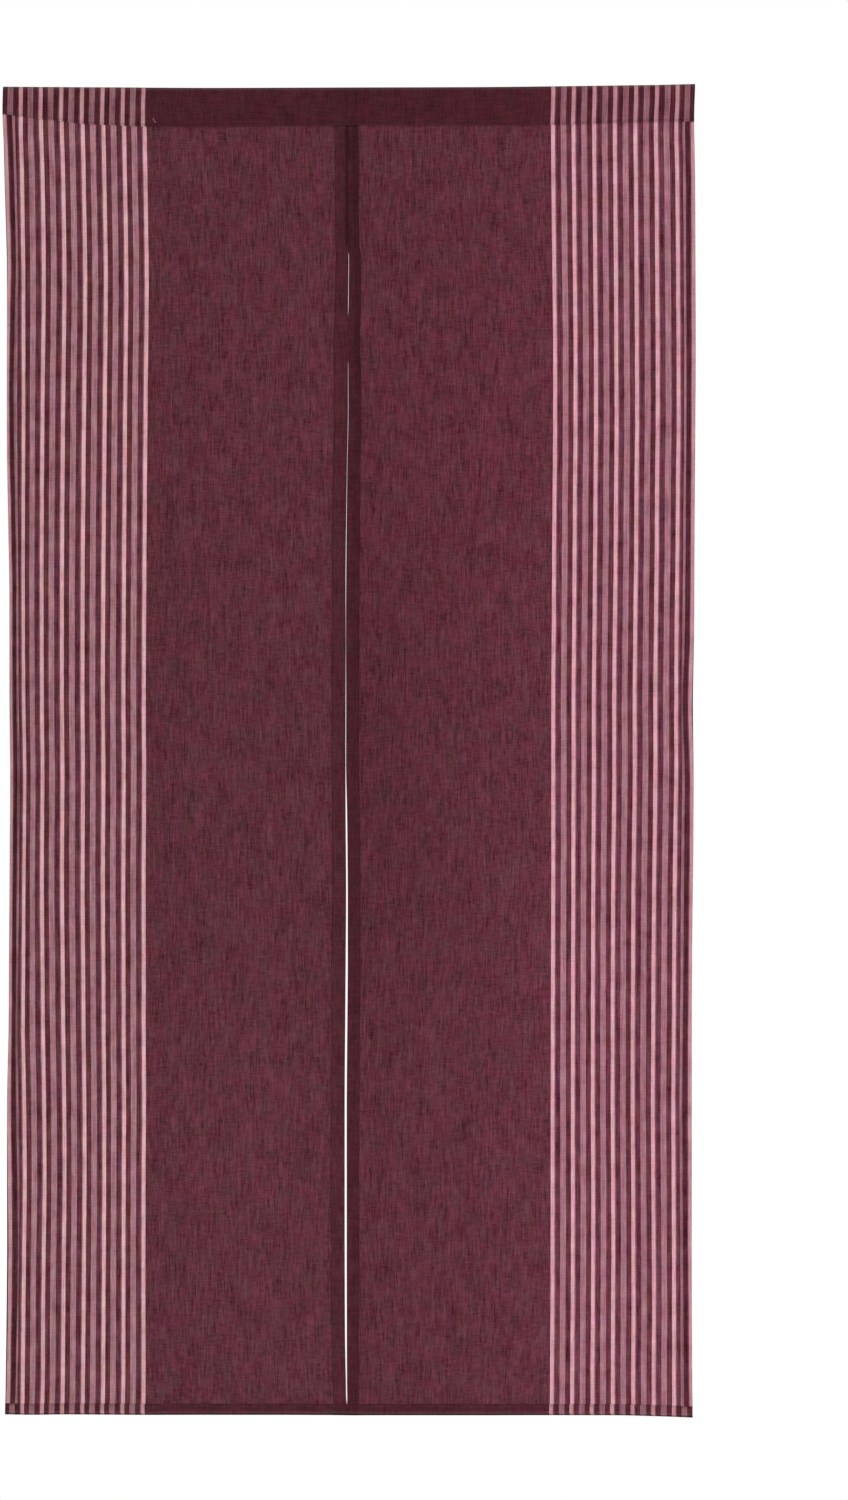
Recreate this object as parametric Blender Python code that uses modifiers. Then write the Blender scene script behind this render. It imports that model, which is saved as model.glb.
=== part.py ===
"""A noren: a split doorway curtain of two cloth halves with a rod pocket along the top.

Metres, +Z up. The side that the hems are turned to faces -Y, with +X to its right.
The origin is on the top edge, where the two halves meet. A drop is a distance below it.
Each half is two pieces, the heading that holds the rod and the panel that hangs from it.
"""

import math

import bmesh
import bpy

LENGTH = 1.70  # top edge to bottom edge
CLOTH = 0.001  # thickness of one layer
HEMMED = 0.002  # thickness where a hem is turned
PIECE_GAP = 0.0003  # between pieces that are sewn together

SIDE_HEM = 0.012  # widths of the turned hems
CENTRE_HEM = 0.015
BOTTOM_HEM = 0.012
HEM_STEP = 0.0006  # across the edge of a turned hem

ROD_SIDE = 0.006  # radius of the heading over the rod
SEAM_SIDE = 0.0016  # radius of the heading at its stitched lower edge

PANEL_COLOUR = (0.107, 0.029, 0.041)
HEADING_COLOUR = (0.063, 0.016, 0.023)  # two layers look darker

COLUMNS = 15  # of faces between the side hem and the centre hem
ROWS = 40  # of faces between the heading and the bottom hem
ROD_ARC_STEPS = 8
SEAM_ARC_STEPS = 4
FLANK_STEPS = 2

# The outer edges, drawn in a little by the hang of the cloth.
OUTLINE = (
    # drop, left edge, right edge
    (0.000, -0.4410, 0.4458),
    (0.035, -0.4416, 0.4445),
    (0.070, -0.4397, 0.4448),
    (0.120, -0.4383, 0.4453),
    (0.185, -0.4365, 0.4460),
    (0.340, -0.4357, 0.4468),
    (0.465, -0.4361, 0.4459),
    (0.595, -0.4344, 0.4451),
    (0.790, -0.4329, 0.4435),
    (0.975, -0.4323, 0.4432),
    (1.105, -0.4333, 0.4420),
    (1.300, -0.4356, 0.4416),
    (1.490, -0.4353, 0.4417),
    (1.655, -0.4370, 0.4425),
    (1.705, -0.4381, 0.4431),
)

# The halves are sewn together down to the slit, which is widest low down and closes at the hem.
SLIT = (
    # drop, middle, width
    (0.000, -0.0006, 0.0003),
    (0.100, -0.0006, 0.0003),
    (0.210, 0.0006, 0.0003),
    (0.260, 0.0019, 0.0008),
    (0.415, 0.0016, 0.0008),
    (0.500, 0.0000, 0.0009),
    (0.610, -0.0013, 0.0010),
    (0.850, -0.0013, 0.0015),
    (0.930, -0.0008, 0.0026),
    (1.030, 0.0000, 0.0034),
    (1.130, -0.0003, 0.0038),
    (1.300, -0.0016, 0.0038),
    (1.480, -0.0016, 0.0037),
    (1.600, -0.0014, 0.0031),
    (1.660, -0.0008, 0.0026),
    (1.680, -0.0003, 0.0016),
    (1.690, 0.0000, 0.0003),
    (1.705, 0.0000, 0.0003),
)

# The levels across the curtain. The flap of the rod pocket is narrow at the left end.
LEVELS = (
    # across, top edge, lower edge of the heading, bottom edge
    (-0.442, -0.0003, -0.0353, -1.7002),
    (-0.417, -0.0004, -0.0383, -1.7008),
    (-0.400, -0.0005, -0.0407, -1.7010),
    (-0.365, -0.0007, -0.0442, -1.7006),
    (-0.338, -0.0009, -0.0477, -1.7008),
    (-0.288, -0.0011, -0.0500, -1.7012),
    (-0.256, -0.0014, -0.0509, -1.7014),
    (-0.179, -0.0018, -0.0515, -1.7012),
    (-0.018, -0.0012, -0.0494, -1.7014),
    (0.014, -0.0011, -0.0489, -1.7016),
    (0.170, -0.0005, -0.0488, -1.7014),
    (0.260, 0.0003, -0.0486, -1.7013),
    (0.350, 0.0015, -0.0466, -1.7016),
    (0.400, 0.0022, -0.0459, -1.7028),
    (0.446, 0.0033, -0.0454, -1.7044),
)

# Soft upright folds. A positive depth goes to the back, away from the side with the hems.
FOLDS = (
    # across, upper end, lower end, half width, depth
    (-0.432, 0.10, 1.20, 0.040, 0.0075),
    (-0.352, 0.15, 1.75, 0.055, -0.0040),
    (-0.262, 0.45, 1.75, 0.050, 0.0045),
    (-0.170, 0.20, 1.30, 0.060, -0.0030),
    (-0.090, 0.70, 1.75, 0.055, 0.0040),
    (-0.020, 0.45, 1.60, 0.045, -0.0035),
    (0.030, 0.60, 1.66, 0.040, 0.0030),
    (0.110, 0.25, 1.20, 0.060, 0.0035),
    (0.205, 0.55, 1.75, 0.060, -0.0045),
    (0.300, 0.30, 1.10, 0.050, 0.0030),
    (0.345, 0.80, 1.75, 0.045, 0.0055),
    (0.415, 0.35, 1.60, 0.050, -0.0040),
)
FOLD_FADE = 0.25  # over which a fold comes in and dies out


def smooth_step(share):
    share = min(max(share, 0.0), 1.0)
    return share * share * (3.0 - 2.0 * share)


def reading(table, at, column):
    """The value in this column at a place in the first one, on a smooth curve through the rows."""
    at = min(max(at, table[0][0]), table[-1][0])
    row = 0
    while row < len(table) - 2 and at > table[row + 1][0]:
        row += 1
    (start, end) = (table[row], table[row + 1])
    before = table[max(row - 1, 0)]
    after = table[min(row + 2, len(table) - 1)]
    span = end[0] - start[0]
    rise = (end[column] - start[column]) / span
    slopes = []
    for (low, high) in ((before, end), (start, after)):
        slope = (high[column] - low[column]) / (high[0] - low[0])
        # Limited, so that the curve never swings past its rows.
        steepest = 2 * abs(rise) if slope * rise > 0.0 else 0.0
        slopes.append(math.copysign(min(abs(slope), steepest), rise))
    share = (at - start[0]) / span
    eased = smooth_step(share)
    leaving = share * (1 - share) ** 2 * slopes[0]
    arriving = share**2 * (share - 1) * slopes[1]
    return start[column] * (1 - eased) + end[column] * eased + span * (leaving + arriving)


def top_edge(across):
    return reading(LEVELS, across, 1)


def heading_end(across):
    return reading(LEVELS, across, 2)


def bottom_edge(across):
    return reading(LEVELS, across, 3)


def side_edges(side, drop):
    """Where the outer edge and the inner edge of a half are at this drop."""
    middle = reading(SLIT, drop, 1)
    half_slit = reading(SLIT, drop, 2) / 2
    if side == "left":
        return reading(OUTLINE, drop, 1), middle - half_slit
    return reading(OUTLINE, drop, 2), middle + half_slit


def fold_depth(across, drop):
    """How far the cloth lies behind its plane, from the soft folds."""
    depth = 0.0
    for (middle, upper, lower, half_width, deep) in FOLDS:
        reach = abs(across - middle) / half_width
        if reach < 1.0:
            strength = smooth_step((drop - upper) / FOLD_FADE) * smooth_step((lower - drop) / FOLD_FADE)
            depth += deep * strength * math.cos(reach * math.pi / 2) ** 2
    return depth


def cloth_material(name, colour):
    material = bpy.data.materials.new(name)
    material.use_nodes = True
    shader = material.node_tree.nodes["Principled BSDF"]
    shader.inputs["Base Color"].default_value = (*colour, 1.0)
    shader.inputs["Roughness"].default_value = 0.9
    shader.inputs["Metallic"].default_value = 0.0
    return material


def add_piece(name, bm, material):
    mesh = bpy.data.meshes.new(name)
    bm.to_mesh(mesh)
    bm.free()
    mesh.materials.append(material)
    piece = bpy.data.objects.new(name, mesh)
    collection.objects.link(piece)
    return piece


def even_shares(start, end, count):
    return [start + (end - start) * step / count for step in range(count + 1)]


def columns_across(width):
    """Distances from the outer edge: the side hem, even columns, then the centre hem."""
    plain = even_shares(SIDE_HEM + HEM_STEP, width - CENTRE_HEM - HEM_STEP, COLUMNS)
    return [0.0, SIDE_HEM, *plain, width - CENTRE_HEM, width]


def rows_down(height):
    """Distances below the panel's upper edge: even rows, then the bottom hem."""
    plain = even_shares(0.0, height - BOTTOM_HEM - HEM_STEP, ROWS)
    return [*plain, height - BOTTOM_HEM, height]


def shares_across(side):
    (outer, inner) = side_edges(side, LENGTH / 2)
    width = abs(inner - outer)
    return [distance / width for distance in columns_across(width)]


def across_at(side, share, drop):
    """The place at this share of the way from the outer edge to the inner one."""
    (outer, inner) = side_edges(side, drop)
    return outer + (inner - outer) * share


def make_panel(side, material):
    """One layer of cloth, thicker at its three turned hems, hanging in soft folds."""
    columns = shares_across(side)
    height = LENGTH + heading_end(0.0)
    rows = [distance / height for distance in rows_down(height)]
    last_column = len(columns) - 1
    last_row = len(rows) - 1

    bm = bmesh.new()
    bmesh.ops.create_grid(bm, x_segments=last_column, y_segments=last_row, size=0.5)
    hemmed = []
    for vertex in bm.verts:
        column = round((vertex.co.x + 0.5) * last_column)
        row = round((0.5 - vertex.co.y) * last_row)
        # On the left half the outer edge comes first, on the right half the inner edge.
        from_outer = column if side == "left" else last_column - column
        nearly = across_at(side, columns[from_outer], LENGTH * rows[row])
        upper = heading_end(nearly) - PIECE_GAP
        z = upper + (bottom_edge(nearly) - upper) * rows[row]
        x = across_at(side, columns[from_outer], -z)
        vertex.co = (x, fold_depth(x, -z), z)
        if from_outer <= 1 or from_outer >= last_column - 1 or row >= last_row - 1:
            hemmed.append(vertex.index)

    panel = add_piece(f"panel_{side}", bm, material)
    hems = panel.vertex_groups.new(name="hems")
    hems.add(hemmed, 1.0, "REPLACE")
    thickness = panel.modifiers.new("thickness", "SOLIDIFY")
    thickness.thickness = HEMMED
    thickness.vertex_group = "hems"
    thickness.thickness_vertex_group = CLOTH / HEMMED
    thickness.offset = 1.0
    return panel


def heading_section(top, seam):
    """The heading's outline across the curtain: two arcs, over the rod and at the seam, and the flanks."""
    (rod_z, seam_z) = (top - ROD_SIDE, seam + SEAM_SIDE)
    # The flanks touch both arcs, so they lean in by this angle.
    lean = math.asin((ROD_SIDE - SEAM_SIDE) / (rod_z - seam_z))
    arcs = (
        (rod_z, ROD_SIDE, -lean, math.pi + lean, ROD_ARC_STEPS),
        (seam_z, SEAM_SIDE, math.pi + lean, 2 * math.pi - lean, SEAM_ARC_STEPS),
    )
    points = []
    for (centre_z, radius, start, end, steps) in arcs:
        turns = even_shares(start, end, steps)
        points.append([(radius * math.cos(turn), centre_z + radius * math.sin(turn)) for turn in turns])
    (over_rod, at_seam) = points
    outline = []
    for (arc, following) in ((over_rod, at_seam), (at_seam, over_rod)):
        outline += arc
        (start, end) = (arc[-1], following[0])
        for share in even_shares(0.0, 1.0, FLANK_STEPS + 1)[1:-1]:
            outline.append((start[0] + (end[0] - start[0]) * share, start[1] + (end[1] - start[1]) * share))
    return outline


def make_heading(side, material):
    """A sleeve open at both ends, as it hangs from a slim rod."""
    bm = bmesh.new()
    rings = []
    for share in shares_across(side):
        station = across_at(side, share, -heading_end(0.0))
        ring = []
        for (y, z) in heading_section(top_edge(station), heading_end(station)):
            ring.append(bm.verts.new((across_at(side, share, -z), y, z)))
        rings.append(ring)
    for (ring, following) in zip(rings, rings[1:]):
        for index in range(len(ring)):
            beside = (index + 1) % len(ring)
            bm.faces.new((ring[index], ring[beside], following[beside], following[index]))
    bmesh.ops.recalc_face_normals(bm, faces=bm.faces)
    heading = add_piece(f"heading_{side}", bm, material)
    thickness = heading.modifiers.new("thickness", "SOLIDIFY")
    thickness.thickness = CLOTH
    thickness.offset = -1.0
    thickness.use_even_offset = True
    return heading


for old in list(bpy.data.objects):
    bpy.data.objects.remove(old, do_unlink=True)
collection = bpy.data.collections.new("noren")
bpy.context.scene.collection.children.link(collection)
for side in ("left", "right"):
    make_panel(side, cloth_material(f"panel_{side}_cloth", PANEL_COLOUR))
    make_heading(side, cloth_material(f"heading_{side}_cloth", HEADING_COLOUR))
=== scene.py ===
"""A noren, a split doorway curtain of two striped cotton halves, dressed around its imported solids.

Metres, +Z up, with the origin on the top edge where the halves meet. The hems are turned to -Y.
A drop is a distance below the origin. A flat distance is measured along the cloth.
"""

import math

import bmesh
import bpy
from mathutils import Matrix, Vector, noise


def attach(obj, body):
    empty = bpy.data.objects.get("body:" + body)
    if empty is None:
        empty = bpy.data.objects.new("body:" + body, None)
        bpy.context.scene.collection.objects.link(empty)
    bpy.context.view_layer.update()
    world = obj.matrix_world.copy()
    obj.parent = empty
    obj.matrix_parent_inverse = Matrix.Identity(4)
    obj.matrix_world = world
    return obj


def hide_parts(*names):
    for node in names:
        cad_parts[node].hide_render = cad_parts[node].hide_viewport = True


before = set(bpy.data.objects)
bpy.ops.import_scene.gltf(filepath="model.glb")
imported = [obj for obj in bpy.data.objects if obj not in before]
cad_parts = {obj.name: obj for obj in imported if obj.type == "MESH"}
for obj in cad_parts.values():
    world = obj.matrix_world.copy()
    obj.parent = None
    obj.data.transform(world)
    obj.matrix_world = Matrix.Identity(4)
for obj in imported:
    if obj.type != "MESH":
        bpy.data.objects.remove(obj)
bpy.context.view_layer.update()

# The two halves. Each is one length of yarn-dyed cotton with its long sides turned over to the
# front and hemmed, its top turned over to the front for the rod, and its bottom edge hemmed.
# They hang side by side, sewn edge to edge from the top down to the slit.

CLOTH = 0.0004  # thickness of one layer
HANG_Y = -0.0005  # middle of the hanging cloth
SIDE_HEM = 0.0155
HEM_EASE = 1.03  # more cloth in a side hem's front layer than behind it
BOTTOM_HEM = 0.0138
SIDE_FOLD = 0.0003  # radius of the cloth where a hem turns
HEM_LIFT = 0.0011  # how far a hem's front layer stands off the cloth behind it
HEM_BULK = 0.0014  # more of it where two hems cross
TUCK = 0.0018  # raw edge turned under
SEAM_RISE = 0.0022  # from the flap's lower edge up to the seam
ROD_ROOM = 0.0057  # radius of the pocket over the rod
FLAT_WIDTH = {"left": 0.4404, "right": 0.4456}  # fold to fold

# The drops at which the rows that run across the cloth are set out.
POCKET_DROP = 0.03  # in the rod pocket
SEAM_DROP = 0.05  # along its seam
HEM_DROP = 1.69  # in the bottom hem
BOTTOM_DROP = 1.70  # along the bottom edge

PITCH = 0.0262  # of the stripes
FIRST_PINK = 0.0235  # from the outer fold to the middle of the first pink stripe
STRIPED = 0.1832  # from the outer fold to where the stripes end
PINKS = tuple(FIRST_PINK + PITCH * index for index in (0, 1, 3, 6))

EDGES = {
    # drop, outer edge, cloth's flat distance that lies on the fold
    "left": (
        (0.000, -0.4398, 0.0000),
        (0.035, -0.4407, 0.0000),
        (0.056, -0.4399, 0.0002),
        (0.070, -0.4392, 0.0003),
        (0.120, -0.4380, 0.0006),
        (0.185, -0.4362, 0.0008),
        (0.225, -0.4353, 0.0008),
        (0.280, -0.4354, -0.0002),
        (0.390, -0.4358, -0.0017),
        (0.465, -0.4359, -0.0012),
        (0.550, -0.4345, -0.0003),
        (0.650, -0.4327, 0.0000),
        (0.790, -0.4327, 0.0000),
        (0.885, -0.4318, 0.0000),
        (0.975, -0.4323, 0.0000),
        (1.105, -0.4329, 0.0000),
        (1.200, -0.4332, 0.0000),
        (1.300, -0.4350, 0.0002),
        (1.490, -0.4348, 0.0016),
        (1.655, -0.4365, 0.0012),
        (1.705, -0.4375, 0.0005),
    ),
    "right": (
        (0.000, 0.4453, 0.0000),
        (0.035, 0.4442, 0.0000),
        (0.056, 0.4443, 0.0000),
        (0.070, 0.4446, 0.0000),
        (0.120, 0.4454, 0.0001),
        (0.185, 0.4457, 0.0002),
        (0.340, 0.4461, 0.0004),
        (0.465, 0.4454, 0.0003),
        (0.595, 0.4445, 0.0001),
        (0.700, 0.4440, 0.0003),
        (0.790, 0.4425, 0.0014),
        (0.885, 0.4435, -0.0001),
        (0.975, 0.4431, -0.0002),
        (1.105, 0.4416, -0.0004),
        (1.300, 0.4411, 0.0000),
        (1.490, 0.4411, -0.0003),
        (1.655, 0.4418, -0.0008),
        (1.705, 0.4424, -0.0008),
    ),
}

SWAY = {
    # drop, where the first, second, fourth and seventh pink stripes hang
    "left": (
        (0.018, -0.4168, -0.3915, -0.3385, -0.2600),
        (0.056, -0.4173, -0.3915, -0.3381, -0.2589),
        (0.110, -0.4159, -0.3896, -0.3370, -0.2580),
        (0.250, -0.4142, -0.3880, -0.3348, -0.2562),
        (0.415, -0.4141, -0.3895, -0.3361, -0.2577),
        (0.620, -0.4146, -0.3906, -0.3379, -0.2593),
        (0.780, -0.4140, -0.3904, -0.3383, -0.2601),
        (0.880, -0.4126, -0.3896, -0.3376, -0.2597),
        (1.020, -0.4136, -0.3903, -0.3381, -0.2604),
        (1.130, -0.4141, -0.3894, -0.3373, -0.2602),
        (1.210, -0.4145, -0.3889, -0.3368, -0.2603),
        (1.300, -0.4130, -0.3874, -0.3358, -0.2598),
        (1.400, -0.4123, -0.3868, -0.3355, -0.2604),
        (1.541, -0.4137, -0.3885, -0.3366, -0.2606),
        (1.640, -0.4146, -0.3889, -0.3375, -0.2603),
        (1.700, -0.4153, -0.3901, -0.3381, -0.2606),
    ),
    "right": (
        (0.018, 0.4229, 0.3965, 0.3433, 0.2639),
        (0.056, 0.4214, 0.3953, 0.3427, 0.2636),
        (0.110, 0.4226, 0.3961, 0.3431, 0.2640),
        (0.190, 0.4233, 0.3966, 0.3438, 0.2648),
        (0.330, 0.4242, 0.3976, 0.3446, 0.2663),
        (0.430, 0.4244, 0.3976, 0.3450, 0.2663),
        (0.517, 0.4233, 0.3966, 0.3443, 0.2656),
        (0.600, 0.4227, 0.3963, 0.3438, 0.2650),
        (0.660, 0.4219, 0.3955, 0.3431, 0.2648),
        (0.790, 0.4211, 0.3945, 0.3419, 0.2639),
        (0.870, 0.4211, 0.3947, 0.3421, 0.2640),
        (1.030, 0.4191, 0.3929, 0.3408, 0.2638),
        (1.183, 0.4182, 0.3919, 0.3402, 0.2634),
        (1.300, 0.4174, 0.3913, 0.3401, 0.2631),
        (1.450, 0.4181, 0.3922, 0.3409, 0.2631),
        (1.570, 0.4185, 0.3929, 0.3406, 0.2628),
        (1.644, 0.4185, 0.3924, 0.3402, 0.2623),
        (1.700, 0.4186, 0.3926, 0.3404, 0.2620),
    ),
}

# The join of the halves wanders a little, and the slit opens below it and closes at the hem.
MEETING = (
    # drop, left half's edge, right half's edge
    (0.000, -0.0004, -0.0005),
    (0.100, -0.0004, -0.0005),
    (0.190, 0.0003, 0.0002),
    (0.207, 0.0010, 0.0009),
    (0.217, 0.0019, 0.0026),
    (0.245, 0.0018, 0.0025),
    (0.285, 0.0013, 0.0020),
    (0.308, 0.0011, 0.0011),
    (0.338, 0.0010, 0.0010),
    (0.358, 0.0012, 0.0018),
    (0.415, 0.0013, 0.0020),
    (0.500, -0.0003, 0.0004),
    (0.630, -0.0019, -0.0009),
    (0.710, -0.0017, -0.0011),
    (0.790, -0.0019, -0.0009),
    (0.870, -0.0020, -0.0010),
    (0.930, -0.0018, 0.0003),
    (1.030, -0.0012, 0.0012),
    (1.130, -0.0018, 0.0012),
    (1.300, -0.0030, -0.0001),
    (1.480, -0.0030, -0.0001),
    (1.600, -0.0026, 0.0000),
    (1.660, -0.0015, 0.0002),
    (1.680, -0.0011, 0.0005),
    (1.690, -0.0001, 0.0001),
    (1.705, -0.0001, 0.0001),
)
JOINED = 0.207  # sewn together down to here

CENTRE_HEMS = (
    # drop, width on the left half, width on the right half
    (0.050, 0.0147, 0.0142),
    (0.200, 0.0150, 0.0150),
    (0.350, 0.0176, 0.0156),
    (0.600, 0.0170, 0.0166),
    (0.800, 0.0168, 0.0161),
    (1.100, 0.0173, 0.0156),
    (1.500, 0.0172, 0.0156),
    (1.650, 0.0160, 0.0144),
)

# How dark the hems look, from single cloth (0) to the rod pocket (1) or beyond. This is painted
# shade, as cloth that lies double lets less light through.
HEM_DARK = 0.95
BOTTOM_DARK = 0.90  # the bottom hem's front layer
CROSSED_DARK = 0.15  # how much of its darkness an upright hem adds where it lies in a cross hem

# The same painted shade for the centre hems, which are lighter or darker from place to place.
HEM_SHADE = (
    # drop, left half, right half by its edge, right half by the plain cloth
    (0.050, 0.85, 0.95, 1.75),
    (0.250, 0.85, 0.95, 1.65),
    (0.600, 0.80, 0.90, 1.25),
    (1.100, 0.72, 0.92, 1.05),
    (1.700, 0.75, 0.92, 1.02),
)

# And for the inner edges of the side hems, which catch the light where they stand up.
EDGE_SHADE = (
    # drop, left half, right half
    (0.070, 0.90, 0.60),
    (0.210, 0.70, 0.00),
    (0.270, 0.90, 0.00),
    (0.400, 0.20, 0.20),
    (0.530, 0.50, 0.20),
    (0.660, 0.30, 0.20),
    (0.790, 0.50, 1.60),
    (0.900, 1.70, 0.70),
    (1.040, 0.20, 0.50),
    (1.170, 1.70, 0.40),
    (1.300, 0.90, 0.20),
    (1.430, 0.90, 0.90),
    (1.550, 1.70, 0.70),
    (1.620, 0.50, 0.70),
    (1.680, 0.90, 0.60),
)

LEVELS = (
    # across, top edge, lower edge of the rod pocket's flap, bottom edge
    (-0.442, -0.0008, -0.0355, -1.7000),
    (-0.417, -0.0010, -0.0386, -1.7006),
    (-0.400, -0.0011, -0.0411, -1.7008),
    (-0.365, -0.0013, -0.0448, -1.7003),
    (-0.338, -0.0015, -0.0483, -1.7004),
    (-0.288, -0.0017, -0.0507, -1.7008),
    (-0.256, -0.0020, -0.0517, -1.7010),
    (-0.179, -0.0024, -0.0524, -1.7008),
    (-0.018, -0.0019, -0.0505, -1.7012),
    (0.014, -0.0018, -0.0502, -1.7015),
    (0.170, -0.0013, -0.0505, -1.7014),
    (0.260, -0.0004, -0.0500, -1.7013),
    (0.350, 0.0008, -0.0475, -1.7016),
    (0.400, 0.0015, -0.0463, -1.7028),
    (0.446, 0.0027, -0.0456, -1.7044),
)

# How dark the shadow is that falls from the flap on the cloth just under it.
FLAP_SHADE = (
    # across, shade
    (-0.442, 0.50),
    (-0.424, 0.50),
    (-0.418, 0.10),
    (-0.402, 0.35),
    (-0.390, 0.10),
    (-0.340, 0.20),
    (-0.300, 0.00),
    (-0.020, 0.05),
    (-0.015, 0.80),
    (0.012, 0.80),
    (0.018, 0.05),
    (0.380, 0.05),
    (0.428, 0.15),
    (0.434, 0.45),
    (0.446, 0.25),
)

# Painted shade on the bottom hem by its inner edge, deepest where it bulges over a side hem.
CORNER_SHADE = (
    # across, shade
    (-0.4370, 0.35),
    (-0.4345, 0.75),
    (-0.4270, 0.75),
    (-0.4245, 0.14),
    (-0.2560, 0.14),
    (-0.2400, 0.04),
    (0.2400, 0.04),
    (0.2560, 0.14),
    (0.4200, 0.14),
    (0.4260, 0.35),
    (0.4446, 0.35),
)
GROOVE_SHADE = 0.35  # along the seam above the flap's lower edge
GROOVE_SHARE = 0.06  # of the pocket's front, from the seam up, that lies in that shade
LOW_FOLD_SHADE = 0.75  # under the bottom hem's fold
POCKET_JOIN_SHADE = 0.3  # how much of the sewn join's shade shows on the pocket and the bottom hem

# Shares of the bottom hem's width, from its fold up.
LOW_FOLD_SHARE = 0.1  # lies in the fold's shade
# Above the fold's shade lies a strip that is worn and carries a painted highlight.
LOW_WORN_AND_LIT_SHARE = 0.2  # ends the strip above it that is worn
LOW_SKEW_SHARE = 0.16  # takes up the skew with which it was folded

# Wear with a painted highlight: greyer and lighter where the cloth turns over an edge.
TUCK_WORN_AND_LIT = 0.2  # wear along the flap's lower edge
TUCK_SQUASH = 0.15  # what is left of an upright hem's thickness in a cross hem's tucked edge

FLAP_SKEW = (
    # across, how far to the right the rod pocket's flap was folded down
    (-0.442, 0.0000),
    (-0.417, -0.0004),
    (-0.340, -0.0013),
    (-0.260, -0.0019),
    (-0.100, -0.0008),
    (0.000, 0.0000),
    (0.100, -0.0004),
    (0.260, -0.0008),
    (0.340, -0.0003),
    (0.446, 0.0000),
)

HEM_SKEW = (
    # across, how far to the right the bottom hem was folded up
    (-0.442, 0.0000),
    (-0.415, -0.0003),
    (-0.390, -0.0003),
    (-0.338, -0.0005),
    (-0.310, -0.0009),
    (-0.260, -0.0009),
    (-0.180, 0.0000),
    (0.180, 0.0000),
    (0.260, -0.0008),
    (0.340, -0.0012),
    (0.390, -0.0010),
    (0.418, -0.0003),
    (0.446, 0.0000),
)

FOLDS = (
    # across, upper end, lower end, half width, depth (positive to the back)
    (-0.432, 0.10, 1.20, 0.040, 0.0065),
    (-0.436, 0.30, 1.40, 0.018, 0.0060),
    (-0.352, 0.15, 1.75, 0.055, -0.0040),
    (-0.262, 0.45, 1.75, 0.050, 0.0045),
    (-0.170, 0.20, 1.30, 0.060, -0.0030),
    (-0.090, 0.70, 1.75, 0.055, 0.0040),
    (-0.020, 0.45, 1.60, 0.045, -0.0035),
    (0.030, 0.60, 1.66, 0.040, 0.0030),
    (0.110, 0.25, 1.20, 0.060, 0.0035),
    (0.205, 0.55, 1.75, 0.060, -0.0045),
    (0.300, 0.30, 1.10, 0.050, 0.0030),
    (0.345, 0.80, 1.75, 0.045, 0.0055),
    (0.415, 0.35, 1.60, 0.050, -0.0040),
)
FOLD_FADE = 0.25  # over which a fold comes in and dies out

# Broad soft patches of painted light and shade, where the hanging cloth turns to or from the light,
# and patches where its hue is redder.
PATCHES = (
    # across, drop, half width, half length, how much lighter (painted light and shade), how much redder
    (0.060, 0.86, 0.100, 0.52, -0.105, 0.030),
    (0.160, 0.44, 0.220, 0.50, 0.000, 0.055),
    (-0.150, 0.42, 0.300, 0.50, 0.000, 0.030),
    (-0.140, 0.93, 0.340, 0.55, -0.035, 0.000),
    (-0.120, 1.36, 0.340, 0.32, 0.040, 0.000),
)

HANG_ROWS = 290
HANG_COLUMNS = 84
BESIDE_EDGE = 0.0004  # between the rows or columns on either side of a hem's inner edge
FLAP_SHADOW = 0.0020  # how far down it reaches
JOIN_SHADOW = 0.0030  # how far the shade of the sewn join reaches
CROSSING_FADE = 0.006  # over which a crossing's bulk dies out, starting a little inside it
CROSSING_START = 0.001
WAVE_DEPTH = 0.0011  # of the broad waves that washing and hanging leave in woven cloth
RIPPLE_DEPTH = 0.0003  # of the fine ones
GATHER_DEPTH = 0.0006  # of the gathers just under the rod pocket's seam
GATHER_REACH = 0.05  # over which they die out


def smooth_step(share):
    share = min(max(share, 0.0), 1.0)
    return share * share * (3.0 - 2.0 * share)


def reading(table, at, column):
    """The value in this column at a place in the first one, on a smooth curve through the rows."""
    at = min(max(at, table[0][0]), table[-1][0])
    row = 0
    while row < len(table) - 2 and at > table[row + 1][0]:
        row += 1
    (start, end) = (table[row], table[row + 1])
    before = table[max(row - 1, 0)]
    after = table[min(row + 2, len(table) - 1)]
    span = end[0] - start[0]
    rise = (end[column] - start[column]) / span
    slopes = []
    for (low, high) in ((before, end), (start, after)):
        slope = (high[column] - low[column]) / (high[0] - low[0])
        # Limited, so that the curve never swings past its rows.
        steepest = 2 * abs(rise) if slope * rise > 0.0 else 0.0
        slopes.append(math.copysign(min(abs(slope), steepest), rise))
    share = (at - start[0]) / span
    eased = smooth_step(share)
    leaving = share * (1 - share) ** 2 * slopes[0]
    arriving = share**2 * (share - 1) * slopes[1]
    return start[column] * (1 - eased) + end[column] * eased + span * (leaving + arriving)


def centre_hem(side, drop):
    return reading(CENTRE_HEMS, drop, 1 if side == "left" else 2)


def centre_dark(side, inwards, drop):
    """How dark a centre hem is painted, as shade of doubled cloth, this share of its width in from its
    edge.
    """
    if side == "left":
        return reading(HEM_SHADE, drop, 1)
    share = smooth_step((inwards - 0.3) / 0.4)  # from one column to the other over the hem's middle
    return reading(HEM_SHADE, drop, 2) * (1 - share) + reading(HEM_SHADE, drop, 3) * share


def join_dark(inwards):
    """How deep the cloth lies in the shade of the sewn join, this far in from its edge."""
    return 1.0 - smooth_step((inwards - CLOTH) / JOIN_SHADOW)


def across_at(side, flat, drop):
    """Where a flat distance in from the outer fold hangs at this drop."""
    (outer, fold) = (reading(EDGES[side], drop, 1), reading(EDGES[side], drop, 2))
    inner = reading(MEETING, drop, 1 if side == "left" else 2)
    hung = [(fold, outer)]
    for (column, pink) in enumerate(PINKS, start=1):
        hung.append((pink, reading(SWAY[side], drop, column)))
    hung.append((FLAT_WIDTH[side], inner))
    return reading(hung, flat, 1)


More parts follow.
